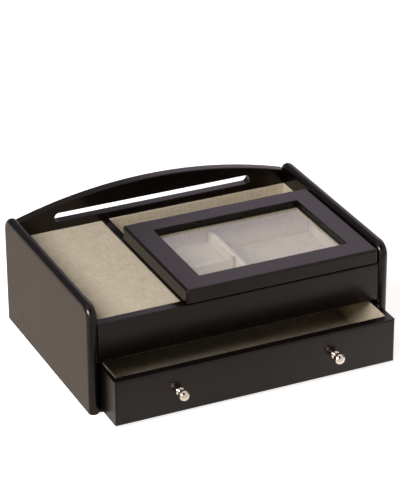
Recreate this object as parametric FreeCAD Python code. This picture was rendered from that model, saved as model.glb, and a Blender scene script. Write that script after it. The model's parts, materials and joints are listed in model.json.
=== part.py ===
import FreeCAD, Part
import os

from FreeCAD import Vector

# Black lacquered valet box, in millimetres. X is right, Y is back, Z is up.
# The origin is the middle of the underside of the case, on the table.
# It rests with the lid shut and the drawer pulled out by DRAWER_PULL.

# --- driving dimensions -------------------------------------------------

# case
WIDTH = 287.0               # over the two side panels
DEPTH = 200.0               # nose to nose of a side panel
SIDE_H = 103.6              # height of a side panel
SIDE_T = 9.6
SIDE_CORNER_R = 13.0        # top corners, seen from the side
NOSE_FLAT = 0.1             # flat left in the middle of a rounded edge
BOARD_RECESS = 2.2          # front and back boards, in from the noses
FRONT_T = 9.6
FRONT_EDGE_R = 1.8
RIM_DROP = 18.6             # from a side panel's top down to the rim of all inner walls
BACK_T = 9.4
ARCH_RISE = 14.1            # peak of the arch, above a side panel's top
ARCH_END_DROP = 6.0         # ends of the arch, below it
ARCH_EDGE_R = 1.0           # its top is flat, with eased edges
SLOT_LENGTH = 196.0         # cable slot in the back board, over its round ends
SLOT_H = 8.5
SLOT_LIFT = 6.2             # from the rim up to the slot's lower edge
SLOT_EDGE_R = 0.8
BASE_T = 3.6
DRAWER_OPENING_H = 44.7     # from the base to the deck over the drawer
DECK_T = 4.5

# top: phone tray on the left, lidded compartment, trough behind it
TRAY_W = 81.8
TRAY_DROP = 1.1             # from the rim down to the lined tray floor
TRAY_DECK_T = 4.0
DIVIDER_T = 6.3
TROUGH_D = 46.9             # front to back
PARTITION_T = 5.0
LINER_T = 1.4               # card covered in fabric
LINER_DROP = 0.6            # from the rim down to the top of a trough liner
WALL_LINER_DROP = 2.0       # the same in the lidded compartment

# lidded compartment
LONG_DIVIDER_X = 79.5       # from the middle of the tray divider
LONG_DIVIDER_T = 5.0
SHORT_DIVIDER_Y = 62.6      # middle, from the partition
SHORT_DIVIDER_T = 5.0
SMALL_DIVIDER_DROP = 4.3    # from the rim down to the tops of both
WATCH_PAD_T = 5.0
RAISED_FLOOR_T = 3.0
CUFFLINK_PAD_T = 2.0
CUFFLINK_DEPTH = 11.2       # from the top of the dividers to the small pads
PAD_GAP = 0.3               # round a loose pad

# lid
LID_T = 12.8
LID_GAP = 1.6               # between the rim and the lid
LID_STEP_LEFT = 0.6         # lid edge in from the tray side of the divider
LID_SIDE_GAP = 0.4          # lid to the right side panel
LID_LIP = 0.8               # lid past the front board
RAIL_FRONT_W = 22.6
RAIL_REAR_W = 20.2
RAIL_LEFT_W = 21.8
RAIL_RIGHT_W = 20.3
LID_CORNER_R = 2.8
LID_EDGE_R = 2.2
WINDOW_EDGE_R = 0.8
GLASS_T = 2.0
GLASS_RECESS = 4.8          # from the lid's top to the glass
GROOVE_D = 4.0              # glass groove in the rails
GLASS_EDGE_GAP = 0.2
LINING_T = 3.8
LINING_RECESS = 0.3
SKIRT_W = 6.0               # rim of the rails outside the lining
BUMPER_R = 2.2
BUMPER_T = 1.3
BUMPER_INSET = 30.0         # from the ends of the lid

# lid hinges
HINGE_SPACING = 110.0
HINGE_L = 22.0
LEAF_T = 0.8
LEAF_INSET = 0.6            # leaf in from the front of the partition
KNUCKLE_R = 1.6
KNUCKLE_GAP = 0.1           # between the lid's rear face and the knuckles
KNUCKLE_END_GAP = 0.15
MID_KNUCKLE_L = 10.0
PIN_R = 0.7
PIN_CLEARANCE = 0.05
HINGE_SCREW_SPACING = 13.0
HINGE_SCREW_R = 0.75
HINGE_SCREW_CLEARANCE = 0.05
HINGE_SCREW_L = 6.0
HINGE_SCREW_HEAD_R = 1.4
HINGE_SCREW_HEAD_T = 0.5

# drawer
DRAWER_PULL = 34.2          # how far it is out at rest
DRAWER_SIDE_GAP = 0.5
DRAWER_UNDER_GAP = 0.3
DRAWER_TOP_GAP = 2.3
DRAWER_REAR_GAP = 0.5
DRAWER_FRONT_T = 8.8
DRAWER_EDGE_R = 1.6
DRAWER_WALL_T = 4.0
DRAWER_BOTTOM_T = 3.0
DRAWER_BOTTOM_LIFT = 0.5
DRAWER_PAD_T = 1.5
DRAWER_LINER_DROP = 1.4

# knobs
KNOB_SPACING = 148.5
KNOB_Z = 24.7
KNOB_BALL_R = 5.0
KNOB_REACH = 8.4            # drawer face to the middle of the ball
KNOB_NECK_R = 2.3
KNOB_FOOT_R = 2.8           # neck where it meets the collar
KNOB_COLLAR_R = 3.9
KNOB_COLLAR_T = 1.8
KNOB_COLLAR_EDGE_R = 0.6
SCREW_R = 1.95
SCREW_CLEARANCE = 0.05
SCREW_IN_KNOB = 8.0
SCREW_HEAD_R = 3.5
SCREW_HEAD_T = 2.0
SCREW_HEAD_CLEARANCE = 0.2

# dowels that join the front and back boards to the side panels
DOWEL_R = 2.5
DOWEL_CLEARANCE = 0.05
DOWEL_IN_SIDE = 6.0
DOWEL_IN_BOARD = 9.0
DOWEL_EDGE = 10.0           # from a board's edge to the nearest dowel
BACK_DOWEL_DROP = 20.0      # from the end of the arch to the upper rear dowel

# --- derived planes -----------------------------------------------------

INNER_X = WIDTH / 2 - SIDE_T
FACE_Y = -DEPTH / 2 + BOARD_RECESS
ROOM_Y0 = FACE_Y + FRONT_T
BACK_Y1 = DEPTH / 2 - BOARD_RECESS
ROOM_Y1 = BACK_Y1 - BACK_T
DECK_Z0 = BASE_T + DRAWER_OPENING_H
DECK_Z1 = DECK_Z0 + DECK_T
RIM_Z = SIDE_H - RIM_DROP
ARCH_PEAK_Z = SIDE_H + ARCH_RISE
ARCH_END_Z = SIDE_H - ARCH_END_DROP
SLOT_Z = RIM_Z + SLOT_LIFT

DIVIDER_X0 = -INNER_X + TRAY_W
DIVIDER_X1 = DIVIDER_X0 + DIVIDER_T
PARTITION_Y1 = ROOM_Y1 - TROUGH_D
PARTITION_Y0 = PARTITION_Y1 - PARTITION_T
TRAY_LINER_Z1 = RIM_Z - TRAY_DROP
TRAY_DECK_Z1 = TRAY_LINER_Z1 - LINER_T
TRAY_DECK_Z0 = TRAY_DECK_Z1 - TRAY_DECK_T
TROUGH_LINER_Z1 = RIM_Z - LINER_DROP
WALL_LINER_Z1 = RIM_Z - WALL_LINER_DROP

CELL_X0 = DIVIDER_X1 + LINER_T
CELL_X1 = INNER_X - LINER_T
CELL_Y0 = ROOM_Y0 + LINER_T
CELL_Y1 = PARTITION_Y0 - LINER_T
LONG_X0 = (DIVIDER_X0 + DIVIDER_X1) / 2 + LONG_DIVIDER_X - LONG_DIVIDER_T / 2
LONG_X1 = LONG_X0 + LONG_DIVIDER_T
SHORT_Y0 = PARTITION_Y0 - SHORT_DIVIDER_Y - SHORT_DIVIDER_T / 2
SHORT_Y1 = SHORT_Y0 + SHORT_DIVIDER_T
SMALL_DIVIDER_Z1 = RIM_Z - SMALL_DIVIDER_DROP
RAISED_Z1 = SMALL_DIVIDER_Z1 - CUFFLINK_DEPTH - CUFFLINK_PAD_T
RAISED_Z0 = RAISED_Z1 - RAISED_FLOOR_T

LID_X0 = DIVIDER_X0 + LID_STEP_LEFT
LID_X1 = INNER_X - LID_SIDE_GAP
LID_Y0 = FACE_Y - LID_LIP
LID_Y1 = PARTITION_Y1
LID_Z0 = RIM_Z + LID_GAP
LID_Z1 = LID_Z0 + LID_T
WINDOW_X0 = LID_X0 + RAIL_LEFT_W
WINDOW_X1 = LID_X1 - RAIL_RIGHT_W
WINDOW_Y0 = LID_Y0 + RAIL_FRONT_W
WINDOW_Y1 = LID_Y1 - RAIL_REAR_W
GLASS_Z1 = LID_Z1 - GLASS_RECESS
GLASS_Z0 = GLASS_Z1 - GLASS_T
LINING_Z0 = LID_Z0 + LINING_RECESS
LINING_Z1 = LINING_Z0 + LINING_T

HINGE_Y = LID_Y1 + KNUCKLE_GAP + KNUCKLE_R
HINGE_Z = (RIM_Z + LID_Z0) / 2
HINGE_XS = [(LID_X0 + LID_X1) / 2 + side * HINGE_SPACING / 2 for side in (-1, 1)]

DRAWER_Y0 = FACE_Y - DRAWER_PULL
DRAWER_BOX_Y0 = DRAWER_Y0 + DRAWER_FRONT_T
DRAWER_BOX_Y1 = PARTITION_Y0 - DRAWER_REAR_GAP - DRAWER_PULL
DRAWER_X1 = INNER_X - DRAWER_SIDE_GAP
DRAWER_ROOM_X1 = DRAWER_X1 - DRAWER_WALL_T
DRAWER_Z0 = BASE_T + DRAWER_UNDER_GAP
DRAWER_Z1 = DECK_Z0 - DRAWER_TOP_GAP
DRAWER_BOTTOM_Z0 = DRAWER_Z0 + DRAWER_BOTTOM_LIFT
DRAWER_BOTTOM_Z1 = DRAWER_BOTTOM_Z0 + DRAWER_BOTTOM_T
DRAWER_LINER_Z1 = DRAWER_Z1 - DRAWER_LINER_DROP
KNOB_XS = [side * KNOB_SPACING / 2 for side in (-1, 1)]

X_AXIS = Vector(1, 0, 0)
Y_AXIS = Vector(0, 1, 0)
Z_AXIS = Vector(0, 0, 1)
TOUCH = 1e-3                # how near an edge must lie to a plane to be on it
PAST = 1.0                  # how far a cutting shape runs past what it cuts


# --- helpers ------------------------------------------------------------

def block(x0, x1, y0, y1, z0, z1):
    return Part.makeBox(x1 - x0, y1 - y0, z1 - z0, Vector(x0, y0, z0))


def rod(radius, start, axis, length):
    return Part.makeCylinder(radius, length, start, axis)


def on_plane(edge, x=None, y=None, z=None):
    """True where the whole edge lies on each plane that is given."""
    box = edge.BoundBox
    spans = ((x, box.XMin, box.XMax), (y, box.YMin, box.YMax), (z, box.ZMin, box.ZMax))
    return all(
        abs(low - at) < TOUCH and abs(high - at) < TOUCH
        for at, low, high in spans
        if at is not None
    )


def round_edges(solid, radius, chosen):
    edges = [edge for edge in solid.Edges if chosen(edge)]
    return solid.makeFillet(radius, edges)


def cut_all(solid, tools):
    for tool in tools:
        solid = solid.cut(tool)
    return solid


def save(name, solids):
    shape = solids[0] if len(solids) == 1 else Part.makeCompound(solids)
    shape.exportStep("parts/" + name + ".step")


# --- case ---------------------------------------------------------------

def side_panel(side):
    """A board with its front, top and back edges turned to a full round."""
    outer = side * WIDTH / 2
    inner = side * INNER_X
    x0, x1 = min(outer, inner), max(outer, inner)
    panel = block(x0, x1, -DEPTH / 2, DEPTH / 2, 0, SIDE_H)
    for y in (-DEPTH / 2, DEPTH / 2):
        panel = round_edges(panel, SIDE_CORNER_R, lambda e: on_plane(e, y=y, z=SIDE_H))
    nose_r = (SIDE_T - NOSE_FLAT) / 2
    panel = round_edges(
        panel, nose_r,
        lambda e: (on_plane(e, x=x0) or on_plane(e, x=x1)) and not on_plane(e, z=0),
    )
    return cut_all(panel, [hole for _, hole in dowel_pairs(side)])


def dowel_places():
    """Y and Z of each dowel that joins one side panel to the two boards."""
    front_y = (FACE_Y + ROOM_Y0) / 2
    back_y = (ROOM_Y1 + BACK_Y1) / 2
    front_zs = (DECK_Z0 + DOWEL_EDGE, RIM_Z - DOWEL_EDGE)
    back_zs = (BASE_T + DOWEL_EDGE, ARCH_END_Z - BACK_DOWEL_DROP)
    return [(front_y, z) for z in front_zs] + [(back_y, z) for z in back_zs]


def dowel_pairs(side):
    """Each dowel of one side with the hole that takes it."""
    length = DOWEL_IN_SIDE + DOWEL_IN_BOARD
    pairs = []
    for y, z in dowel_places():
        start = Vector(side * (INNER_X + DOWEL_IN_SIDE), y, z)
        axis = Vector(-side, 0, 0)
        dowel = rod(DOWEL_R, start, axis, length)
        hole = rod(DOWEL_R + DOWEL_CLEARANCE, start, axis, length)
        pairs.append((dowel, hole))
    return pairs


def all_dowel_holes():
    return [hole for side in (-1, 1) for _, hole in dowel_pairs(side)]


def front_panel():
    panel = block(-INNER_X, INNER_X, FACE_Y, ROOM_Y0, DECK_Z0, RIM_Z)
    panel = round_edges(
        panel, FRONT_EDGE_R,
        lambda e: on_plane(e, y=FACE_Y, z=RIM_Z) or on_plane(e, y=FACE_Y, z=DECK_Z0),
    )
    return cut_all(panel, all_dowel_holes())


def arch_outline():
    """The back board seen from the front: a rectangle with an arched top."""
    foot_left = Vector(-INNER_X, ROOM_Y1, 0)
    foot_right = Vector(INNER_X, ROOM_Y1, 0)
    end_left = Vector(-INNER_X, ROOM_Y1, ARCH_END_Z)
    end_right = Vector(INNER_X, ROOM_Y1, ARCH_END_Z)
    peak = Vector(0, ROOM_Y1, ARCH_PEAK_Z)
    return Part.Wire([
        Part.makeLine(foot_left, foot_right),
        Part.makeLine(foot_right, end_right),
        Part.Arc(end_right, peak, end_left).toShape(),
        Part.makeLine(end_left, foot_left),
    ])


def cable_slot():
    straight = SLOT_LENGTH - SLOT_H
    mid_z = SLOT_Z + SLOT_H / 2
    y0, y1 = ROOM_Y1 - PAST, BACK_Y1 + PAST
    slot = block(-straight / 2, straight / 2, y0, y1, SLOT_Z, SLOT_Z + SLOT_H)
    for x in (-straight / 2, straight / 2):
        slot = slot.fuse(rod(SLOT_H / 2, Vector(x, y0, mid_z), Y_AXIS, y1 - y0))
    return slot.removeSplitter()


def back_panel():
    panel = Part.Face(arch_outline()).extrude(Vector(0, BACK_T, 0))
    panel = round_edges(panel, ARCH_EDGE_R, lambda e: isinstance(e.Curve, Part.Circle))
    panel = panel.cut(cable_slot())

    def on_slot(edge):
        box = edge.BoundBox
        inside = box.ZMin > SLOT_Z - TOUCH and box.ZMax < SLOT_Z + SLOT_H + TOUCH
        narrow = box.XMin > -INNER_X + TOUCH and box.XMax < INNER_X - TOUCH
        return inside and narrow and (on_plane(edge, y=ROOM_Y1) or on_plane(edge, y=BACK_Y1))

    panel = round_edges(panel, SLOT_EDGE_R, on_slot)
    return cut_all(panel, all_dowel_holes())


def case_boards():
    """The plain boards between the side panels."""
    return {
        "base_panel": block(-INNER_X, INNER_X, FACE_Y, ROOM_Y1, 0, BASE_T),
        "drawer_deck": block(-INNER_X, INNER_X, ROOM_Y0, PARTITION_Y0, DECK_Z0, DECK_Z1),
        "phone_tray_deck": block(
            -INNER_X, DIVIDER_X0, ROOM_Y0, ROOM_Y1, TRAY_DECK_Z0, TRAY_DECK_Z1),
        "tray_divider": block(
            DIVIDER_X0, DIVIDER_X1, ROOM_Y0, PARTITION_Y0, DECK_Z1, RIM_Z),
        "trough_end_wall": block(
            DIVIDER_X0, DIVIDER_X1, PARTITION_Y1, ROOM_Y1, BASE_T, RIM_Z),
        "tray_rear_prop": block(
            -INNER_X, DIVIDER_X0, PARTITION_Y0, PARTITION_Y1, BASE_T, TRAY_DECK_Z0),
        "raised_floor": block(
            DIVIDER_X1, LONG_X0, CELL_Y0, CELL_Y1, RAISED_Z0, RAISED_Z1),
    }


def rear_partition():
    """The wall between the compartment and the trough, cut for the hinges."""
    wall = block(DIVIDER_X0, INNER_X, PARTITION_Y0, PARTITION_Y1, BASE_T, RIM_Z)
    tools = []
    for x in HINGE_XS:
        tools.append(case_leaf_plate(x))
        tools += hinge_screws(x, RIM_Z, -1, HINGE_SCREW_CLEARANCE)
    return cut_all(wall, tools)


# --- liners and pads ----------------------------------------------------

def tray_and_trough_liners():
    x0, x1 = DIVIDER_X1, INNER_X
    y0, y1 = PARTITION_Y1, ROOM_Y1
    z0, z1 = BASE_T + LINER_T, TROUGH_LINER_Z1
    return {
        "phone_tray_liner": block(
            -INNER_X + PAD_GAP, DIVIDER_X0 - PAD_GAP, ROOM_Y0 + PAD_GAP,
            ROOM_Y1 - PAD_GAP, TRAY_DECK_Z1, TRAY_LINER_Z1),
        "trough_liner_floor": block(x0, x1, y0, y1, BASE_T, z0),
        "trough_liner_front": block(x0, x1, y0, y0 + LINER_T, z0, hinge_clear_z()),
        "trough_liner_rear": block(x0, x1, y1 - LINER_T, y1, z0, z1),
        "trough_liner_left": block(x0, x0 + LINER_T, y0 + LINER_T, y1 - LINER_T, z0, z1),
        "trough_liner_right": block(x1 - LINER_T, x1, y0 + LINER_T, y1 - LINER_T, z0, z1),
    }


def hinge_clear_z():
    """The front trough liner stops under the hinge knuckles."""
    return min(TROUGH_LINER_Z1, HINGE_Z - KNUCKLE_R - PAD_GAP)


def compartment_lining():
    x0, x1 = DIVIDER_X1, INNER_X
    z1 = WALL_LINER_Z1
    return {
        "compartment_liner_front": block(x0, x1, ROOM_Y0, CELL_Y0, DECK_Z1, z1),
        "compartment_liner_rear": block(x0, x1, CELL_Y1, PARTITION_Y0, DECK_Z1, z1),
        "compartment_liner_left": block(x0, CELL_X0, CELL_Y0, CELL_Y1, RAISED_Z1, z1),
        "compartment_liner_right": block(CELL_X1, x1, CELL_Y0, CELL_Y1, DECK_Z1, z1),
        "long_divider": block(
            LONG_X0, LONG_X1, CELL_Y0, CELL_Y1, DECK_Z1, SMALL_DIVIDER_Z1),
        "short_divider": block(
            CELL_X0, LONG_X0, SHORT_Y0, SHORT_Y1, RAISED_Z1, SMALL_DIVIDER_Z1),
    }


def loose_pad(x0, x1, y0, y1, z0, thickness):
    return block(
        x0 + PAD_GAP, x1 - PAD_GAP, y0 + PAD_GAP, y1 - PAD_GAP, z0, z0 + thickness)


def compartment_pads():
    return {
        "cufflink_pad_front": loose_pad(
            CELL_X0, LONG_X0, CELL_Y0, SHORT_Y0, RAISED_Z1, CUFFLINK_PAD_T),
        "cufflink_pad_rear": loose_pad(
            CELL_X0, LONG_X0, SHORT_Y1, CELL_Y1, RAISED_Z1, CUFFLINK_PAD_T),
        "watch_pad": loose_pad(LONG_X1, CELL_X1, CELL_Y0, CELL_Y1, DECK_Z1, WATCH_PAD_T),
    }


def lid_bumpers():
    y = (FACE_Y + ROOM_Y0) / 2
    xs = (LID_X0 + BUMPER_INSET, LID_X1 - BUMPER_INSET)
    return [rod(BUMPER_R, Vector(x, y, RIM_Z), Z_AXIS, BUMPER_T) for x in xs]


# --- lid hinges ---------------------------------------------------------

def hinge_screws(x, face_z, up, clearance=0.0):
    """Two screws of one leaf; up is 1 into the lid and -1 into the case."""
    y = (PARTITION_Y0 + LEAF_INSET + LID_Y1) / 2
    screws = []
    for side in (-1, 1):
        start = Vector(x + side * HINGE_SCREW_SPACING / 2, y, face_z)
        axis = Vector(0, 0, up)
        head = rod(HINGE_SCREW_HEAD_R + clearance, start, axis, HINGE_SCREW_HEAD_T)
        shank = rod(HINGE_SCREW_R + clearance, start, axis, HINGE_SCREW_L)
        screws.append(head.fuse(shank).removeSplitter())
    return screws


def leaf_plate(x, z0):
    return block(
        x - HINGE_L / 2, x + HINGE_L / 2,
        PARTITION_Y0 + LEAF_INSET, LID_Y1, z0, z0 + LEAF_T)


def case_leaf_plate(x):
    return leaf_plate(x, RIM_Z - LEAF_T)


def lid_leaf_plate(x):
    return leaf_plate(x, LID_Z0)


def knuckle(x0, x1, plate_z0):
    """A barrel with the tongue that ties it to its leaf."""
    barrel = rod(KNUCKLE_R, Vector(x0, HINGE_Y, HINGE_Z), X_AXIS, x1 - x0)
    tongue = block(x0, x1, LID_Y1, HINGE_Y, plate_z0, plate_z0 + LEAF_T)
    return barrel.fuse(tongue)


def pin_bore(x):
    length = HINGE_L + 2 * PAST
    start = Vector(x - length / 2, HINGE_Y, HINGE_Z)
    return rod(PIN_R + PIN_CLEARANCE, start, X_AXIS, length)


def case_leaf(x):
    leaf = case_leaf_plate(x)
    mid = MID_KNUCKLE_L / 2 + KNUCKLE_END_GAP
    for x0, x1 in ((x - HINGE_L / 2, x - mid), (x + mid, x + HINGE_L / 2)):
        leaf = leaf.fuse(knuckle(x0, x1, RIM_Z - LEAF_T))
    leaf = leaf.removeSplitter()
    return cut_all(leaf, [pin_bore(x)] + hinge_screws(x, RIM_Z, -1, HINGE_SCREW_CLEARANCE))


def lid_leaf(x):
    half = MID_KNUCKLE_L / 2
    leaf = lid_leaf_plate(x).fuse(knuckle(x - half, x + half, LID_Z0)).removeSplitter()
    return cut_all(leaf, [pin_bore(x)] + hinge_screws(x, LID_Z0, 1, HINGE_SCREW_CLEARANCE))


def hinge_pin(x):
    return rod(PIN_R, Vector(x - HINGE_L / 2, HINGE_Y, HINGE_Z), X_AXIS, HINGE_L)


# --- lid ----------------------------------------------------------------

def lid_frame():
    """The four rails in one piece, before they are cut apart."""
    frame = block(LID_X0, LID_X1, LID_Y0, LID_Y1, LID_Z0, LID_Z1)
    corners = [(x, y) for x in (LID_X0, LID_X1) for y in (LID_Y0, LID_Y1)]
    frame = round_edges(
        frame, LID_CORNER_R, lambda e: any(on_plane(e, x=x, y=y) for x, y in corners))
    frame = round_edges(frame, LID_EDGE_R, lambda e: on_plane(e, z=LID_Z1))
    frame = frame.cut(block(
        WINDOW_X0, WINDOW_X1, WINDOW_Y0, WINDOW_Y1, LID_Z0 - PAST, LID_Z1 + PAST))
    frame = round_edges(
        frame, WINDOW_EDGE_R,
        lambda e: on_plane(e, z=LID_Z1) and in_window(e),
    )
    frame = frame.cut(block(
        WINDOW_X0 - GROOVE_D, WINDOW_X1 + GROOVE_D,
        WINDOW_Y0 - GROOVE_D, WINDOW_Y1 + GROOVE_D, GLASS_Z0, GLASS_Z1))
    return frame.cut(block(
        LID_X0 + SKIRT_W, LID_X1 - SKIRT_W,
        LID_Y0 + SKIRT_W, LID_Y1 - SKIRT_W, LID_Z0 - PAST, LINING_Z1))


def in_window(edge):
    box = edge.BoundBox
    return (
        box.XMin > WINDOW_X0 - TOUCH and box.XMax < WINDOW_X1 + TOUCH
        and box.YMin > WINDOW_Y0 - TOUCH and box.YMax < WINDOW_Y1 + TOUCH
    )


def lid_rails():
    """The front and rear rails run through; the side rails butt between them."""
    frame = lid_frame()
    x0, x1 = LID_X0 - PAST, LID_X1 + PAST
    z0, z1 = LID_Z0 - PAST, LID_Z1 + PAST
    middle = (LID_X0 + LID_X1) / 2
    rails = {
        "lid_rail_front": frame.common(block(x0, x1, LID_Y0 - PAST, WINDOW_Y0, z0, z1)),
        "lid_rail_rear": frame.common(block(x0, x1, WINDOW_Y1, LID_Y1 + PAST, z0, z1)),
        "lid_rail_left": frame.common(block(x0, middle, WINDOW_Y0, WINDOW_Y1, z0, z1)),
        "lid_rail_right": frame.common(block(middle, x1, WINDOW_Y0, WINDOW_Y1, z0, z1)),
    }
    for x in HINGE_XS:
        tools = [lid_leaf_plate(x)] + hinge_screws(x, LID_Z0, 1, HINGE_SCREW_CLEARANCE)
        rails["lid_rail_rear"] = cut_all(rails["lid_rail_rear"], tools)
    return rails


def lid_glass():
    reach = GROOVE_D - GLASS_EDGE_GAP
    return block(
        WINDOW_X0 - reach, WINDOW_X1 + reach, WINDOW_Y0 - reach, WINDOW_Y1 + reach,
        GLASS_Z0, GLASS_Z1)


def lid_lining():
    """Four covered strips under the rails, round the window."""
    x0, x1 = LID_X0 + SKIRT_W, LID_X1 - SKIRT_W
    y0, y1 = LID_Y0 + SKIRT_W, LID_Y1 - SKIRT_W
    strips = (
        (x0, x1, y0, WINDOW_Y0),
        (x0, x1, WINDOW_Y1, y1),
        (x0, WINDOW_X0, WINDOW_Y0, WINDOW_Y1),
        (WINDOW_X1, x1, WINDOW_Y0, WINDOW_Y1),
    )
    return [block(*strip, LINING_Z0, LINING_Z1) for strip in strips]


# --- drawer -------------------------------------------------------------

def drawer_front():
    front = block(
        -DRAWER_X1, DRAWER_X1, DRAWER_Y0, DRAWER_BOX_Y0, DRAWER_Z0, DRAWER_Z1)
    front = round_edges(front, DRAWER_EDGE_R, lambda e: on_plane(e, y=DRAWER_Y0))
    tools = []
    for x in KNOB_XS:
        shank_r = SCREW_R + SCREW_CLEARANCE
        tools.append(rod(shank_r, Vector(x, DRAWER_Y0 - PAST, KNOB_Z), Y_AXIS,
                         DRAWER_FRONT_T + 2 * PAST))
        head_r = SCREW_HEAD_R + SCREW_HEAD_CLEARANCE
        tools.append(rod(head_r, Vector(x, DRAWER_BOX_Y0 - SCREW_HEAD_T, KNOB_Z), Y_AXIS,
                         SCREW_HEAD_T + PAST))
    return cut_all(front, tools)


def drawer_boards():
    x1 = DRAWER_X1
    room = DRAWER_ROOM_X1
    y0, y1 = DRAWER_BOX_Y0, DRAWER_BOX_Y1
    back_y0 = y1 - DRAWER_WALL_T
    return {
        "drawer_side_left": block(-x1, -room, y0, y1, DRAWER_Z0, DRAWER_Z1),
        "drawer_side_right": block(room, x1, y0, y1, DRAWER_Z0, DRAWER_Z1),
        "drawer_back": block(-room, room, back_y0, y1, DRAWER_Z0, DRAWER_Z1),
        "drawer_bottom": block(-room, room, y0, back_y0, DRAWER_BOTTOM_Z0, DRAWER_BOTTOM_Z1),
    }


def drawer_lining():
    room = DRAWER_ROOM_X1
    y0, y1 = DRAWER_BOX_Y0, DRAWER_BOX_Y1 - DRAWER_WALL_T
    z0, z1 = DRAWER_BOTTOM_Z1, DRAWER_LINER_Z1
    inner = room - LINER_T
    return {
        "drawer_liner_front": block(-room, room, y0, y0 + LINER_T, z0, z1),
        "drawer_liner_rear": block(-room, room, y1 - LINER_T, y1, z0, z1),
        "drawer_liner_left": block(-room, -inner, y0 + LINER_T, y1 - LINER_T, z0, z1),
        "drawer_liner_right": block(inner, room, y0 + LINER_T, y1 - LINER_T, z0, z1),
        "drawer_floor_pad": loose_pad(
            -inner, inner, y0 + LINER_T, y1 - LINER_T, z0, DRAWER_PAD_T),
    }


def knob(x):
    """A ball on a tapered neck, with a round collar against the drawer."""
    forward = Vector(0, -1, 0)
    face = Vector(x, DRAWER_Y0, KNOB_Z)
    collar_y = DRAWER_Y0 - KNOB_COLLAR_T
    collar = rod(KNOB_COLLAR_R, face, forward, KNOB_COLLAR_T)
    collar = round_edges(
        collar, KNOB_COLLAR_EDGE_R,
        lambda e: on_plane(e, y=collar_y) and isinstance(e.Curve, Part.Circle))
    neck_length = KNOB_REACH - KNOB_COLLAR_T
    neck = Part.makeCone(
        KNOB_FOOT_R, KNOB_NECK_R, neck_length, Vector(x, collar_y, KNOB_Z), forward)
    ball = Part.makeSphere(KNOB_BALL_R, Vector(x, DRAWER_Y0 - KNOB_REACH, KNOB_Z))
    hole = rod(SCREW_R + SCREW_CLEARANCE, face, forward, SCREW_IN_KNOB)
    return collar.fuse([neck, ball]).cut(hole)


def knob_screw(x):
    head_y = DRAWER_BOX_Y0 - SCREW_HEAD_T
    shank_y = DRAWER_Y0 - SCREW_IN_KNOB
    head = rod(SCREW_HEAD_R, Vector(x, head_y, KNOB_Z), Y_AXIS, SCREW_HEAD_T)
    shank = rod(SCREW_R, Vector(x, shank_y, KNOB_Z), Y_AXIS, head_y - shank_y)
    return head.fuse(shank).removeSplitter()


# --- every node ---------------------------------------------------------

def build():
    nodes = {
        "left_side_panel": side_panel(-1),
        "right_side_panel": side_panel(1),
        "front_panel": front_panel(),
        "back_panel": back_panel(),
        "rear_partition": rear_partition(),
        "lid_glass": lid_glass(),
        "drawer_front": drawer_front(),
        "knob_left": knob(KNOB_XS[0]),
        "knob_right": knob(KNOB_XS[1]),
    }
    for group in (
        case_boards(), tray_and_trough_liners(), compartment_lining(),
        compartment_pads(), lid_rails(), drawer_boards(), drawer_lining(),
    ):
        nodes.update(group)
    groups = {
        "dowels_left": [dowel for dowel, _ in dowel_pairs(-1)],
        "dowels_right": [dowel for dowel, _ in dowel_pairs(1)],
        "lid_bumpers": lid_bumpers(),
        "lid_lining": lid_lining(),
        "hinge_case_leaves": [case_leaf(x) for x in HINGE_XS],
        "hinge_lid_leaves": [lid_leaf(x) for x in HINGE_XS],
        "hinge_pins": [hinge_pin(x) for x in HINGE_XS],
        "hinge_case_screws": [s for x in HINGE_XS for s in hinge_screws(x, RIM_Z, -1)],
        "hinge_lid_screws": [s for x in HINGE_XS for s in hinge_screws(x, LID_Z0, 1)],
        "knob_screws": [knob_screw(x) for x in KNOB_XS],
    }
    for name, solid in nodes.items():
        save(name, [solid])
    for name, solids in groups.items():
        save(name, solids)


os.makedirs("parts", exist_ok=True)
build()
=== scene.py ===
import json
import math

import bmesh
import bpy
from bpy.props import FloatProperty, PointerProperty, StringProperty
from mathutils import Matrix, Quaternion, Vector, noise


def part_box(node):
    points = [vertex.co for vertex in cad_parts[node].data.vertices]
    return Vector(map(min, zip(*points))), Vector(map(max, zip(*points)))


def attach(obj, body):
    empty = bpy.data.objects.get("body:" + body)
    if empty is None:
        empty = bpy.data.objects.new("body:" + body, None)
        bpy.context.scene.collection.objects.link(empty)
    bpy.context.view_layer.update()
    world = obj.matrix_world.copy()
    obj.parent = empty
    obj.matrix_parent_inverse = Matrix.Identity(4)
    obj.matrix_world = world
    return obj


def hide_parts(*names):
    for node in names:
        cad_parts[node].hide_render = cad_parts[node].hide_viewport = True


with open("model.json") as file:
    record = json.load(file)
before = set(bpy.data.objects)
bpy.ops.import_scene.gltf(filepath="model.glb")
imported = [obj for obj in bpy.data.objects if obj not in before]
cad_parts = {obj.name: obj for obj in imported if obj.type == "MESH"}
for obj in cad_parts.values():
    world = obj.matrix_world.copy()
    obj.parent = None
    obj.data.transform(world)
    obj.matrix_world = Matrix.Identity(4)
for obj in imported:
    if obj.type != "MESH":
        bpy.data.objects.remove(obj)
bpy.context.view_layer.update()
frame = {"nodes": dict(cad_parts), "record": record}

bl_info = {
    "name": "Valet Box with Drawer",
    "version": (1, 0, 0),
    "blender": (4, 5, 0),
    "location": "View3D > Sidebar > Valet Box",
    "description": "Finishes a black lacquered valet box: boards, linings, pads, glass, knobs and hinges",
    "category": "Object",
}

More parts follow.
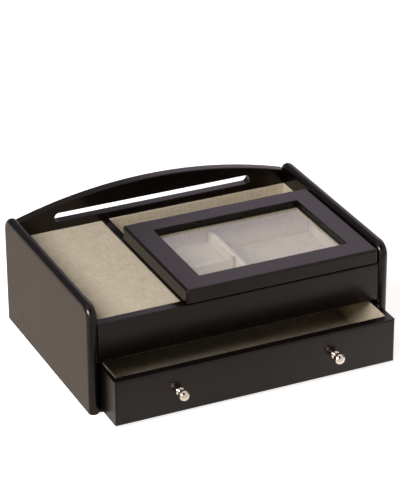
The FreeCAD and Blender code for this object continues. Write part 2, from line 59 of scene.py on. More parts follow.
MM = 0.001
SAME = 1e-6             # vertices nearer than this, in metres, are one
HAIR = 0.01 * MM        # allowance when a vertex is found by its place
SAG = 0.05 * MM         # how far a curve's straight pieces may stray from it
SHARP = 0.9             # an edge bent by more than this, in radians, is sharp
ARCH_STEPS = 13         # rows of faces across each eased edge of the arch
WAVE_LENGTH = 14 * MM   # of the unevenness of cloth glued to card
CLOTH_EDGE_STEPS = 3    # rows of faces round the edge of a covered card or pad
DIVIDER_TOP_STEPS = 5   # the same round the top of a divider
BAND_APART = 0.31416    # from one band of a wave texture to the next, at scale 1
BODY_OF = {
    node: body
    for body, nodes in frame["record"]["behaviour"]["bodies"].items()
    for node in nodes
}

LACQUERED = (
    "left_side_panel", "right_side_panel", "front_panel", "base_panel", "drawer_deck",
    "phone_tray_deck", "tray_divider", "trough_end_wall", "rear_partition", "tray_rear_prop",
    "raised_floor", "lid_rail_front", "lid_rail_rear", "lid_rail_left", "lid_rail_right",
    "drawer_front", "drawer_side_left", "drawer_side_right", "drawer_back", "drawer_bottom",
)
WALL_CARDS = (
    "trough_liner_floor", "trough_liner_front", "trough_liner_rear", "trough_liner_left",
    "trough_liner_right", "compartment_liner_front", "compartment_liner_rear",
    "compartment_liner_left", "compartment_liner_right", "drawer_liner_front",
    "drawer_liner_rear", "drawer_liner_left", "drawer_liner_right",
)
DIVIDERS = ("long_divider", "short_divider")


# --- settings -----------------------------------------------------------

class ValetSizes(bpy.types.PropertyGroup):
    card_edge: FloatProperty(
        name="Card edge", description="Radius of the cloth where it folds over a card's edge",
        default=0.45 * MM, unit="LENGTH")
    card_wave: FloatProperty(
        name="Card wave", description="How uneven the glued cloth lies on a card",
        default=0.12 * MM, unit="LENGTH")
    drawer_turn: FloatProperty(
        name="Drawer turn-over",
        description="How far the cloth turned over a drawer card stands above it",
        default=0.6 * MM, unit="LENGTH")
    arch_edge: FloatProperty(
        name="Arch edge", description="Radius of the eased edges along the back board's arch",
        default=1.0 * MM, unit="LENGTH")
    divider_top: FloatProperty(
        name="Divider top", description="Radius of the cloth over the top of a divider",
        default=1.7 * MM, unit="LENGTH")
    cell: FloatProperty(
        name="Mesh cell", description="Length of a quad on cloth and pads",
        default=5.0 * MM, unit="LENGTH")
    watch_crown: FloatProperty(
        name="Watch pad crown", description="How far the middle of the watch pad stands above its edge",
        default=1.3 * MM, unit="LENGTH")
    thin_crown: FloatProperty(
        name="Thin pad crown", description="The same for the thin pads",
        default=0.5 * MM, unit="LENGTH")
    thread: FloatProperty(
        name="Thread spacing", description="Distance between the lining's threads",
        default=0.8 * MM, unit="LENGTH")
    knob_rim: FloatProperty(
        name="Knob collar rim", description="Radius of the rim of a knob's collar",
        default=0.8 * MM, unit="LENGTH")
    cross_depth: FloatProperty(
        name="Cross depth", description="Depth of the cross in a screw head",
        default=0.3 * MM, unit="LENGTH")


class ValetColours(bpy.types.PropertyGroup):
    lacquer: StringProperty(
        name="Lacquer", description="Black of the lacquered boards, as sRGB hex",
        default="#070404")
    lacquer_high: StringProperty(
        name="Lacquer variation", description="Its slightly warmer areas, as sRGB hex",
        default="#0b0706")
    # the cloth's beige with painted shade between the threads, and with painted light on their tops
    cloth_in_painted_shade: StringProperty(
        name="Cloth, between threads", description="Lining cloth between its threads, as sRGB hex",
        default="#b5a68c")
    cloth_in_painted_light: StringProperty(
        name="Cloth, on threads", description="Lining cloth on top of its threads, as sRGB hex",
        default="#dccdb6")
    nickel: StringProperty(
        name="Nickel", description="Polished nickel of the knobs, as sRGB hex",
        default="#ddd2c2")
    hinge: StringProperty(
        name="Hinge plate", description="Nickel-plated hinge steel, as sRGB hex",
        default="#b9b4ab")
    zinc: StringProperty(
        name="Zinc", description="Zinc-plated screws, as sRGB hex",
        default="#c4c6c8")


# --- materials ----------------------------------------------------------

def linear(hex_colour):
    """An sRGB hex colour as the linear RGBA that shaders use."""
    parts = [int(hex_colour[i:i + 2], 16) / 255 for i in (1, 3, 5)]
    return (*(c / 12.92 if c <= 0.04045 else ((c + 0.055) / 1.055) ** 2.4 for c in parts), 1.0)


def add_node(tree, kind, settings=None, inputs=None):
    """Adds one node: settings are its own properties, inputs are values or sockets to link."""
    node = tree.nodes.new(kind)
    for name, value in (settings or {}).items():
        setattr(node, name, value)
    for name, value in (inputs or {}).items():
        if isinstance(value, bpy.types.NodeSocket):
            tree.links.new(value, node.inputs[name])
        else:
            node.inputs[name].default_value = value
    return node


def new_material(name):
    material = bpy.data.materials.new(name)
    material.use_nodes = True
    material.node_tree.nodes.clear()
    return material, material.node_tree


def show(tree, shader):
    add_node(tree, "ShaderNodeOutputMaterial", inputs={"Surface": shader.outputs[0]})


def surface(tree, inputs):
    """Ends a material with one principled surface."""
    show(tree, add_node(tree, "ShaderNodeBsdfPrincipled", inputs=inputs))


def own_place(tree):
    """Where a point lies on its own piece, in metres."""
    return add_node(tree, "ShaderNodeTexCoord").outputs["Object"]


def spots(tree, place, apart, detail=2.0):
    """Noise from 0 to 1 whose spots are so many metres apart."""
    return add_node(tree, "ShaderNodeTexNoise", inputs={
        "Vector": place, "Scale": 1 / apart, "Detail": detail}).outputs["Fac"]


def streaks(tree, place, lengths, detail=2.0):
    """Noise from 0 to 1 whose spots have their own lengths along X, Y and Z."""
    stretched = add_node(tree, "ShaderNodeMapping", inputs={
        "Vector": place, "Scale": tuple(1 / length for length in lengths)})
    return spots(tree, stretched.outputs[0], 1.0, detail)


def remap(tree, value, before, after, interpolation="LINEAR"):
    """Takes a value from one range to another."""
    return add_node(tree, "ShaderNodeMapRange", {"interpolation_type": interpolation}, {
        "Value": value, "From Min": before[0], "From Max": before[1],
        "To Min": after[0], "To Max": after[1]}).outputs["Result"]


def mix_colours(tree, factor, first, second, blend_type="MIX"):
    return add_node(tree, "ShaderNodeMix", {"data_type": "RGBA", "blend_type": blend_type}, {
        "Factor": factor, "A": first, "B": second}).outputs["Result"]


def reckon(tree, operation, *values):
    """One step of arithmetic."""
    return add_node(
        tree, "ShaderNodeMath", {"operation": operation}, dict(enumerate(values))).outputs[0]


def plain_sight(tree):
    """1 for what the camera sees, straight or through glass, and 0 for all other rays."""
    path = add_node(tree, "ShaderNodeLightPath")
    return reckon(tree, "MAXIMUM", path.outputs["Is Camera Ray"], path.outputs["Is Transmission Ray"])


def satin_black_lacquer(colours):
    """Sprayed polyurethane lacquer on fibreboard, rubbed to a satin: near black, with soft
    reflections, a faint orange peel and edges that the spray has rounded."""
    patch_apart, peel_apart = 45 * MM, 1.5 * MM
    peel_depth, edge_r = 0.006 * MM, 0.35 * MM
    material, tree = new_material("satin_black_lacquer")
    place = own_place(tree)
    patches = spots(tree, place, patch_apart, detail=3.0)
    peel = spots(tree, place, peel_apart, detail=1.0)
    edge = add_node(tree, "ShaderNodeBevel", {"samples": 4}, {"Radius": edge_r})
    bump = add_node(tree, "ShaderNodeBump", inputs={
        "Strength": 0.25, "Distance": peel_depth, "Height": peel, "Normal": edge.outputs[0]})
    surface(tree, {
        "Base Color": mix_colours(
            tree, patches, linear(colours.lacquer), linear(colours.lacquer_high)),
        "Roughness": remap(tree, patches, (0.3, 0.7), (0.24, 0.28)),
        "IOR": 1.45, "Specular IOR Level": 0.4, "Specular Tint": linear("#fff1e7"),
        "Normal": bump.outputs[0]})
    return material


def lining_cloth(colours, sizes):
    """Beige cotton and linen cloth, plain woven: matt, with thicker threads here and there. The threads
    are drawn about twice as far apart as real ones, with painted shade between them and painted light on
    their tops."""
    slub_length, slub_width, thread_depth = 14 * MM, 1 * MM, 0.08 * MM
    painted_thread_shade_share = 0.3      # how much the threads, beside the slubs, change the colour
    material, tree = new_material("beige_lining_cloth")
    place = add_node(tree, "ShaderNodeUVMap", {"uv_map": "weave"}).outputs[0]
    warp, weft = (
        add_node(tree, "ShaderNodeTexWave", {"bands_direction": way}, {
            "Vector": place, "Scale": BAND_APART / sizes.thread, "Distortion": 0.0})
        for way in ("X", "Y"))
    over = add_node(tree, "ShaderNodeTexChecker", inputs={
        "Vector": place, "Scale": 1 / sizes.thread})
    weave = add_node(tree, "ShaderNodeMix", {"data_type": "FLOAT"}, {
        "Factor": over.outputs["Fac"], "A": warp.outputs["Fac"], "B": weft.outputs["Fac"]})
    # slubs lie along each set of threads
    slub_x = streaks(tree, place, (slub_length, slub_width, 1.0))
    slub_y = streaks(tree, place, (slub_width, slub_length, 1.0))
    slubs = remap(tree, reckon(tree, "ADD", slub_x, slub_y), (0.75, 1.25), (0.15, 0.85))
    # the weave paints shade between the threads and light on their tops; the slubs are the cloth's own
    # uneven tone
    tone = reckon(tree, "MULTIPLY_ADD", weave.outputs["Result"], painted_thread_shade_share, slubs)
    bump = add_node(tree, "ShaderNodeBump", inputs={
        "Strength": 0.5, "Distance": thread_depth, "Height": weave.outputs["Result"]})
    surface(tree, {
        "Base Color": mix_colours(
            tree, tone, linear(colours.cloth_in_painted_shade), linear(colours.cloth_in_painted_light)),
        "Roughness": 0.92, "Specular IOR Level": 0.2,
        "Sheen Weight": 0.12, "Sheen Roughness": 0.4, "Normal": bump.outputs[0]})
    return material


def window_glass():
    """Clear float glass, which mirrors the pale room as a grey veil. Rays to the lamps and
    rays from cloth pass straight through, so that what lies under it is lit."""
    marks_apart = 25 * MM
    material, tree = new_material("window_glass")
    marks = spots(tree, own_place(tree), marks_apart, detail=4.0)
    glass = add_node(tree, "ShaderNodeBsdfPrincipled", inputs={
        "Base Color": linear("#f6f9f7"), "Roughness": remap(tree, marks, (0.45, 0.75), (0.0, 0.006)),
        "IOR": 1.5, "Transmission Weight": 1.0})
    clear = add_node(tree, "ShaderNodeBsdfTransparent", inputs={"Color": linear("#f2f3f2")})
    path = add_node(tree, "ShaderNodeLightPath")
    passing = reckon(tree, "MAXIMUM", path.outputs["Is Shadow Ray"], path.outputs["Is Diffuse Ray"])
    show(tree, add_node(tree, "ShaderNodeMixShader", inputs={
        0: passing, 1: glass.outputs[0], 2: clear.outputs[0]}))
    return material


def polished_nickel(colours):
    """Nickel plate, buffed: a warm mirror with a faint haze."""
    haze_apart = 3 * MM
    material, tree = new_material("polished_nickel")
    haze = spots(tree, own_place(tree), haze_apart)
    surface(tree, {
        "Base Color": linear(colours.nickel), "Metallic": 1.0,
        "Roughness": remap(tree, haze, (0.3, 0.7), (0.04, 0.09))})
    return material


def rolled_hinge_plate(colours):
    """Nickel-plated rolled steel: fine roll marks along each leaf."""
    mark_length, mark_width, mark_depth = 20 * MM, 0.15 * MM, 0.005 * MM
    material, tree = new_material("nickel_plated_hinge")
    marks = streaks(tree, own_place(tree), (mark_length, mark_width, mark_width))
    bump = add_node(tree, "ShaderNodeBump", inputs={
        "Strength": 0.3, "Distance": mark_depth, "Height": marks})
    surface(tree, {
        "Base Color": linear(colours.hinge), "Metallic": 1.0,
        "Roughness": remap(tree, marks, (0.0, 1.0), (0.2, 0.4)), "Normal": bump.outputs[0]})
    return material


def zinc_plate(colours):
    """Zinc-plated screw steel: bright and slightly cloudy."""
    clouds_apart = 0.8 * MM
    material, tree = new_material("zinc_plated_steel")
    clouds = spots(tree, own_place(tree), clouds_apart, detail=3.0)
    surface(tree, {
        "Base Color": linear(colours.zinc), "Metallic": 1.0,
        "Roughness": remap(tree, clouds, (0.0, 1.0), (0.22, 0.42))})
    return material


def clear_bumper():
    """Cast polyurethane: soft, water-clear and a little milky."""
    milk_apart = 2 * MM
    material, tree = new_material("clear_polyurethane")
    milk = spots(tree, own_place(tree), milk_apart)
    surface(tree, {
        "Base Color": linear("#dfe0dc"), "Roughness": remap(tree, milk, (0.0, 1.0), (0.12, 0.3)),
        "IOR": 1.5, "Transmission Weight": 0.75})
    return material


def beech_dowel():
    """Turned beech: pale and straight-grained, with short dark flecks along the dowels."""
    fleck_length, fleck_width = 5 * MM, 0.5 * MM
    material, tree = new_material("turned_beech")
    grain = streaks(tree, own_place(tree), (fleck_length, fleck_width, fleck_width), detail=4.0)
    surface(tree, {
        "Base Color": mix_colours(tree, grain, linear("#b98f62"), linear("#e0c197")),
        "Roughness": 0.6})
    return material


# --- mesh helpers -------------------------------------------------------

def finish_node(name, material):
    """Gives a carried-over CAD node its material."""
    node = frame["nodes"][name]
    node.data.materials.clear()
    node.data.materials.append(material)


def solids_of(name):
    """The lowest and highest corner of each separate solid of a CAD node."""
    bm = bmesh.new()
    bm.from_mesh(frame["nodes"][name].data)
    bmesh.ops.remove_doubles(bm, verts=bm.verts, dist=SAME)
    left = set(bm.verts)
    found = []
    while left:
        island, edge = set(), [left.pop()]
        while edge:
            vert = edge.pop()
            island.add(vert)
            near = [e.other_vert(vert) for e in vert.link_edges]
            fresh = [v for v in near if v in left]
            left.difference_update(fresh)
            edge.extend(fresh)
        places = [v.co for v in island]
        found.append((
            Vector([min(p[i] for p in places) for i in range(3)]),
            Vector([max(p[i] for p in places) for i in range(3)]),
        ))
    bm.free()
    return sorted(found, key=lambda box: tuple(box[0]))


def along(edge, axis):
    """True if nearly all of an edge runs along one axis, 0 to 2."""
    nearly_all = 0.99
    step = edge.verts[1].co - edge.verts[0].co
    return abs(step[axis]) > nearly_all * step.length


def slab(bm, low, high, cell):
    """A closed block of quads about cell long."""
    made = bmesh.ops.create_cube(bm, size=1.0)
    bmesh.ops.scale(bm, vec=high - low, verts=made["verts"])
    bmesh.ops.translate(bm, vec=(low + high) / 2, verts=made["verts"])
    verts = set(made["verts"])
    for axis in range(3):
        cuts = round((high - low)[axis] / cell) - 1
        edges = [e for e in bm.edges if e.verts[0] in verts and along(e, axis)]
        if cuts > 0:
            cut = bmesh.ops.subdivide_edges(bm, edges=edges, cuts=cuts, use_grid_fill=True)
            verts.update(g for g in cut["geom"] if isinstance(g, bmesh.types.BMVert))
    return list(verts)


def round_slab(bm, radius, segments, chosen=lambda edge: True):
    """Rounds those sharp edges of a block that a test picks."""
    sharp = [
        e for e in bm.edges
        if len(e.link_faces) == 2 and e.calc_face_angle() > SHARP and chosen(e)]
    bmesh.ops.bevel(
        bm, geom=sharp, offset=radius, offset_type="OFFSET", affect="EDGES",
        segments=segments, profile=0.5, material=-1)


def lay_cloth(bm):
    """Lays the weave flat on each side, in metres."""
    layer = bm.loops.layers.uv.new("weave")
    for face in bm.faces:
        normal = [abs(n) for n in face.normal]
        across = normal.index(max(normal))
        first, second = [i for i in range(3) if i != across]
        for loop in face.loops:
            loop[layer].uv = (loop.vert.co[first], loop.vert.co[second])


def piece_from(bm, name, body, material, slot, *nodes):
    """Turns a bmesh into a piece that stands for CAD nodes and rides on their body."""
    bmesh.ops.recalc_face_normals(bm, faces=bm.faces)
    for face in bm.faces:
        face.smooth = True
    mesh = bpy.data.meshes.new(name)
    bm.to_mesh(mesh)
    bm.free()
    mesh.materials.append(material)
    piece = bpy.data.objects.new(name, mesh)
    bpy.context.scene.collection.objects.link(piece)
    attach(piece, body)
    if nodes:
        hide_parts(*nodes)
    return piece


def keep_flats(piece):
    """Shades flat sides flat and only the rounded edges soft."""
    piece.modifiers.new("flats", "WEIGHTED_NORMAL").keep_sharp = True


def covered_card(bm, low, high, sizes, seed):
    """A card wrapped in cloth, with soft edges and the unevenness of glue under it. The
    seed makes that unevenness differ from card to card."""
    slab(bm, low, high, sizes.cell)
    round_slab(bm, sizes.card_edge, CLOTH_EDGE_STEPS)
    thin = min(range(3), key=lambda i: (high - low)[i])
    middle = (low + high) / 2
    for vert in bm.verts:
        wave = 0.5 + 0.5 * noise.noise(vert.co / WAVE_LENGTH + Vector((seed, 0, 0)))
        side = 1 if vert.co[thin] > middle[thin] else -1
        vert.co[thin] -= side * wave * sizes.card_wave


# --- operators ----------------------------------------------------------

class VALET_OT_boards(bpy.types.Operator):
    """Gives the case, lid and drawer boards their black lacquer, and the dowels their beech"""
    bl_idname = "valet.boards"
    bl_label = "Lacquer the Boards"

    def execute(self, context):
        lacquer = satin_black_lacquer(context.scene.valet_colours)
        for name in LACQUERED:
            finish_node(name, lacquer)
        beech = beech_dowel()
        for name in ("dowels_left", "dowels_right"):
            finish_node(name, beech)
        return {"FINISHED"}


class VALET_OT_back_board(bpy.types.Operator):
    """Gives the arched edge of the back board the even rounding that its long triangles lack"""
    bl_idname = "valet.back_board"
    bl_label = "Round the Arched Edge"

    def execute(self, context):
        edge_r = context.scene.valet_sizes.arch_edge
        low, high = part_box("back_panel")
        bm = bmesh.new()
        bm.from_mesh(frame["nodes"]["back_panel"].data)
        bmesh.ops.remove_doubles(bm, verts=bm.verts, dist=SAME)
        # the arch is one circle, through its peak and the ends of the board
        end_z = max(vert.co.z for vert in bm.verts if vert.co.x < low.x + HAIR)
        rise = high.z - end_z
        arch_r = (high.x ** 2 + rise ** 2) / (2 * rise)
        hub_z = high.z - arch_r

        def depth(vert):
            """How far a vertex lies below the arch."""
            return arch_r - math.hypot(vert.co.x, vert.co.z - hub_z)

        # its eased edges and the flat top between them go, but not the ends of the board
        worn = [
            face for face in bm.faces
            if all(depth(vert) < edge_r + SAG for vert in face.verts)
            and any(abs(vert.co.x) < high.x - HAIR for vert in face.verts)]
        bmesh.ops.delete(bm, geom=worn, context="FACES")
        rim = [vert for vert in bm.verts if abs(depth(vert) - edge_r) < SAG]
        rim.sort(key=lambda vert: vert.co.x)
        front = [vert for vert in rim if vert.co.y < low.y + HAIR]
        rear = [vert for vert in rim if vert.co.y > high.y - HAIR]
        # new rows of vertices go over the arch, each at one depth and one place along Y
        turns = [math.pi / 2 * step / ARCH_STEPS for step in range(1, ARCH_STEPS + 1)]
        way = [(edge_r * (1 - math.sin(a)), low.y + edge_r * (1 - math.cos(a))) for a in turns]
        way += [(deep, low.y + high.y - y) for deep, y in reversed(way)]
        rows = [front]
        for deep, y in way:
            rows.append([
                bm.verts.new((v.co.x, y, hub_z + math.sqrt((arch_r - deep) ** 2 - v.co.x ** 2)))
                for v in front])
        rows.append(rear)
        for near, far in zip(rows, rows[1:]):
            for left, right, far_right, far_left in zip(near, near[1:], far[1:], far):
                bm.faces.new((left, right, far_right, far_left))
        # the rows are joined to the ends of the board, and slits left there are closed
        ends = [vert for vert in bm.verts if abs(vert.co.x) > high.x - HAIR]
        bmesh.ops.remove_doubles(bm, verts=ends, dist=SAG)
        bmesh.ops.holes_fill(bm, edges=bm.edges, sides=4)
        for edge in bm.edges:
            edge.smooth = len(edge.link_faces) != 2 or edge.calc_face_angle() < SHARP
        keep_flats(piece_from(
            bm, "back_panel_arched", "case", bpy.data.materials["satin_black_lacquer"],
            "black_lacquer", "back_panel"))
        return {"FINISHED"}


class VALET_OT_wall_cards(bpy.types.Operator):
    """Covers the walls of the trough, the compartment and the drawer with cloth on card"""
    bl_idname = "valet.wall_cards"
    bl_label = "Line the Walls"

    def execute(self, context):
        sizes = context.scene.valet_sizes
        cloth = bpy.data.materials["beige_lining_cloth"]
        for number, name in enumerate(WALL_CARDS):
            low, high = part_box(name)
            if name.startswith("drawer"):
                high = high + Vector((0, 0, sizes.drawer_turn))
            bm = bmesh.new()
            covered_card(bm, low, high, sizes, seed=number * 7.3)
            lay_cloth(bm)
            keep_flats(piece_from(bm, name + "_cloth", BODY_OF[name], cloth, "liner_fabric", name))
        return {"FINISHED"}


class VALET_OT_lining_material(bpy.types.Operator):
    """Weaves the beige lining cloth that all liners and pads share"""
    bl_idname = "valet.lining_material"
    bl_label = "Weave the Lining"

    def execute(self, context):
        lining_cloth(context.scene.valet_colours, context.scene.valet_sizes)
        return {"FINISHED"}


class VALET_OT_tray_floor(bpy.types.Operator):
    """Lays the covered card in the phone tray"""
    bl_idname = "valet.tray_floor"
    bl_label = "Line the Phone Tray"

    def execute(self, context):
        sizes = context.scene.valet_sizes
        low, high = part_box("phone_tray_liner")
        bm = bmesh.new()
        covered_card(bm, low, high, sizes, seed=3.1)
        lay_cloth(bm)
        keep_flats(piece_from(
            bm, "phone_tray_cloth", "case", bpy.data.materials["beige_lining_cloth"],
            "liner_fabric", "phone_tray_liner"))
        return {"FINISHED"}


class VALET_OT_dividers(bpy.types.Operator):
    """Wraps the two dividers of the compartment in cloth, round over their tops"""
    bl_idname = "valet.dividers"
    bl_label = "Wrap the Dividers"

    def execute(self, context):
        sizes = context.scene.valet_sizes
        cloth = bpy.data.materials["beige_lining_cloth"]
        for name in DIVIDERS:
            low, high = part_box(name)
            bm = bmesh.new()
            slab(bm, low, high, sizes.cell)
            run = max((0, 1), key=lambda i: (high - low)[i])
            top = high.z - SAME
            round_slab(
                bm, sizes.divider_top, DIVIDER_TOP_STEPS,
                lambda e: along(e, run) and all(v.co.z > top for v in e.verts))
            lay_cloth(bm)
            keep_flats(piece_from(bm, name + "_cloth", BODY_OF[name], cloth, "liner_fabric", name))
        return {"FINISHED"}


def swell(piece, crown, floor_z):
    """Blows a pad up as cloth over foam, held round its foot, then scales the swelling to
    its crown."""
    pressure, frames, hem = 4.0, 20, 0.1 * MM
    mesh = piece.data
    rest = [v.co.copy() for v in mesh.vertices]
    held = piece.vertex_groups.new(name="held")
    held.add([i for i, p in enumerate(rest) if p.z < floor_z + hem], 1.0, "REPLACE")
    cloth = piece.modifiers.new("foam", "CLOTH")
    cloth.settings.vertex_group_mass = "held"
    cloth.settings.use_pressure = True
    cloth.settings.uniform_pressure_force = pressure
    cloth.settings.effector_weights.gravity = 0.0
    cloth.settings.quality = 6
    scene = bpy.context.scene
    for step in range(1, frames + 1):
        scene.frame_set(step)
    seen = piece.evaluated_get(bpy.context.evaluated_depsgraph_get())
    blown = [v.co.copy() for v in seen.to_mesh().vertices]
    seen.to_mesh_clear()
    piece.modifiers.remove(cloth)
    piece.vertex_groups.remove(held)
    scene.frame_set(1)
    rise = max(b.z - r.z for b, r in zip(blown, rest))
    if rise <= 0:
        raise RuntimeError(piece.name + " didn't swell")
    for vert, b, r in zip(mesh.vertices, blown, rest):
        vert.co = r + (b - r) * (crown / rise)


class VALET_OT_pads(bpy.types.Operator):
    """Lays the foam pads in the watch compartment, the two cells and the drawer"""
    bl_idname = "valet.pads"
    bl_label = "Lay the Pads"

    def execute(self, context):
        sizes = context.scene.valet_sizes
        cloth = bpy.data.materials["beige_lining_cloth"]
        crown_share = 0.7       # a pad's block is lower than its node by this share of the crown
        most_edge_r = 1.2 * MM
        edge_share = 0.45       # and an edge's radius is never more than this share of a block
        pads = (
            ("watch_pad", sizes.watch_crown),
            ("cufflink_pad_front", sizes.thin_crown),
            ("cufflink_pad_rear", sizes.thin_crown),
            ("drawer_floor_pad", sizes.thin_crown),
        )
        for name, crown in pads:
            low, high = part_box(name)
            high = high - Vector((0, 0, crown * crown_share))
            bm = bmesh.new()
            slab(bm, low, high, sizes.cell)
            edge_r = min(most_edge_r, (high.z - low.z) * edge_share)
            round_slab(bm, edge_r, CLOTH_EDGE_STEPS)
            lay_cloth(bm)
            pad = piece_from(bm, name + "_cloth", BODY_OF[name], cloth, "liner_pad", name)
            swell(pad, crown, low.z)
        return {"FINISHED"}


class VALET_OT_lid_lining(bpy.types.Operator):
    """Covers the underside of the lid's rails with four strips of cloth on card"""
    bl_idname = "valet.lid_lining"
    bl_label = "Line the Lid"

    def execute(self, context):
        sizes = context.scene.valet_sizes
        low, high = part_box("lid_lining")
        # the strips end where the rails do, round the window
        window_low = Vector((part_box("lid_rail_left")[1].x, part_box("lid_rail_front")[1].y, low.z))
        window_high = Vector((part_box("lid_rail_right")[0].x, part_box("lid_rail_rear")[0].y, high.z))
        strips = (
            (low, Vector((high.x, window_low.y, high.z))),
            (Vector((low.x, window_high.y, low.z)), high),
            (Vector((low.x, window_low.y, low.z)), Vector((window_low.x, window_high.y, high.z))),
            (Vector((window_high.x, window_low.y, low.z)), Vector((high.x, window_high.y, high.z))),
        )
        bm = bmesh.new()
        for number, (start, end) in enumerate(strips):
            strip = bmesh.new()
            covered_card(strip, start, end, sizes, seed=number * 5.9)
            mesh = bpy.data.meshes.new("strip")
            strip.to_mesh(mesh)
            strip.free()
            bm.from_mesh(mesh)
            bpy.data.meshes.remove(mesh)
        bm.normal_update()
        lay_cloth(bm)
        keep_flats(piece_from(
            bm, "lid_lining_cloth", "lid", bpy.data.materials["beige_lining_cloth"],
            "liner_fabric", "lid_lining"))
        return {"FINISHED"}


class VALET_OT_glass(bpy.types.Operator):
    """Makes the lid's window clear"""
    bl_idname = "valet.glass"
    bl_label = "Clear the Window"

    def execute(self, context):
        finish_node("lid_glass", window_glass())
        return {"FINISHED"}


def arc(bm, start, centre, axis, angle, steps):
    """Draws an arc from a vertex by spinning it, and returns its far end."""
    made = bmesh.ops.spin(
        bm, geom=[start], cent=centre, axis=axis, angle=angle, steps=steps, use_merge=False)
    return next(g for g in made["geom_last"] if isinstance(g, bmesh.types.BMVert))


def line(bm, start, place):
    end = bm.verts.new(place)
    bm.edges.new((start, end))
    return end


class VALET_OT_knobs(bpy.types.Operator):
    """Turns the two nickel knobs: a collar, a waisted neck and a ball"""
    bl_idname = "valet.knobs"
    bl_label = "Turn the Knobs"

    def execute(self, context):
        rim = context.scene.valet_sizes.knob_rim
        collar_r, collar_t, neck_r = 3.9 * MM, 1.8 * MM, 2.3 * MM
        chamfer, waist = 0.4 * MM, 0.9 * MM
        quarter_steps, ball_steps, round_steps = 6, 24, 64
        nickel = polished_nickel(context.scene.valet_colours)
        for name in ("knob_left", "knob_right"):
            low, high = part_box(name)
            ball_r = (high.x - low.x) / 2
            face = Vector(((low.x + high.x) / 2, high.y, (low.z + high.z) / 2))
            ball_y = low.y + ball_r
            across, up = Vector((1, 0, 0)), Vector((0, 0, 1))

            def at(radius, out):
                """A place on the profile: out is the distance from the drawer's face."""
                return face + up * radius + Vector((0, -out, 0))

            bm = bmesh.new()
            first = bm.verts.new(at(0, 0))
            last = line(bm, first, at(collar_r - chamfer, 0))
            last = line(bm, last, at(collar_r, chamfer))
            last = line(bm, last, at(collar_r, collar_t - rim))
            last = arc(
                bm, last, at(collar_r - rim, collar_t - rim), across, math.pi / 2, quarter_steps)
            last = line(bm, last, at(neck_r + waist, collar_t))
            last = arc(
                bm, last, at(neck_r + waist, collar_t + waist), across, -math.pi / 2, quarter_steps)
            reach = face.y - ball_y
            turn = math.asin(neck_r / ball_r)
            last = line(bm, last, at(neck_r, reach - ball_r * math.cos(turn)))
            arc(bm, last, at(0, reach), across, math.pi - turn, ball_steps)
            bmesh.ops.spin(
                bm, geom=bm.verts[:] + bm.edges[:], cent=face, axis=(0, 1, 0),
                angle=math.tau, steps=round_steps, use_merge=True)
            bmesh.ops.remove_doubles(bm, verts=bm.verts, dist=SAME)
            piece_from(bm, name + "_turned", BODY_OF[name], nickel, "knob_nickel", name)
        return {"FINISHED"}


def screw_head(bm, low, high, up, depth):
    """A flat head with a cross, and the plain top of its shank."""
    cells, shank_length = 9, 0.5 * MM
    radius = (high.x - low.x) / 2
    arm, half = radius * 0.62, radius * 0.16    # length of the cross's arms, and half their width
    top = high.z if up > 0 else low.z
    middle = Vector(((low.x + high.x) / 2, (low.y + high.y) / 2, top))
    made = bmesh.ops.create_grid(bm, x_segments=cells, y_segments=cells, size=radius)
    for vert in made["verts"]:
        flat = vert.co.xy
        if flat.length > 0:
            flat = flat * (max(abs(flat.x), abs(flat.y)) / flat.length)
        vert.co.xy = flat
    faces = {f for v in made["verts"] for f in v.link_faces}
    cross = []
    for face in faces:
        centre = face.calc_center_median()
        short, long = sorted((abs(centre.x), abs(centre.y)))
        if long < arm and short < half:
            cross.append(face)
    sunk = bmesh.ops.extrude_face_region(bm, geom=cross)
    bmesh.ops.delete(bm, geom=cross, context="FACES")
    moved = [g for g in sunk["geom"] if isinstance(g, bmesh.types.BMVert)]
    bmesh.ops.translate(bm, vec=(0, 0, -depth), verts=moved)
    rim = [e for e in bm.edges if e.is_boundary and all(v in made["verts"] for v in e.verts)]
    skirt = bmesh.ops.extrude_edge_only(bm, edges=rim)
    down = [g for g in skirt["geom"] if isinstance(g, bmesh.types.BMVert)]
    bmesh.ops.translate(bm, vec=(0, 0, -shank_length), verts=down)
    verts = list({*made["verts"], *moved, *down} & set(bm.verts))
    bmesh.ops.holes_fill(bm, edges=[e for e in bm.edges if e.is_boundary])
    if up < 0:
        bmesh.ops.rotate(bm, cent=(0, 0, 0), matrix=Matrix.Rotation(math.pi, 3, "X"), verts=verts)
    bmesh.ops.translate(bm, vec=middle, verts=verts)


class VALET_OT_hinges(bpy.types.Operator):
    """Plates the two hinges and cuts crosses in the heads of their screws"""
    bl_idname = "valet.hinges"
    bl_label = "Fit the Hinges"

    def execute(self, context):
        colours = context.scene.valet_colours
        plate = rolled_hinge_plate(colours)
        for name in ("hinge_case_leaves", "hinge_lid_leaves", "hinge_pins"):
            finish_node(name, plate)
        zinc = zinc_plate(colours)
        finish_node("knob_screws", zinc)
        for name, up in (("hinge_case_screws", 1), ("hinge_lid_screws", -1)):
            heads = bmesh.new()
            for low, high in solids_of(name):
                head = bmesh.new()
                screw_head(head, low, high, up, context.scene.valet_sizes.cross_depth)
                mesh = bpy.data.meshes.new("head")
                head.to_mesh(mesh)
                head.free()
                heads.from_mesh(mesh)
                bpy.data.meshes.remove(mesh)
            keep_flats(piece_from(heads, name + "_crossed", BODY_OF[name], zinc, "screw_steel", name))
        return {"FINISHED"}


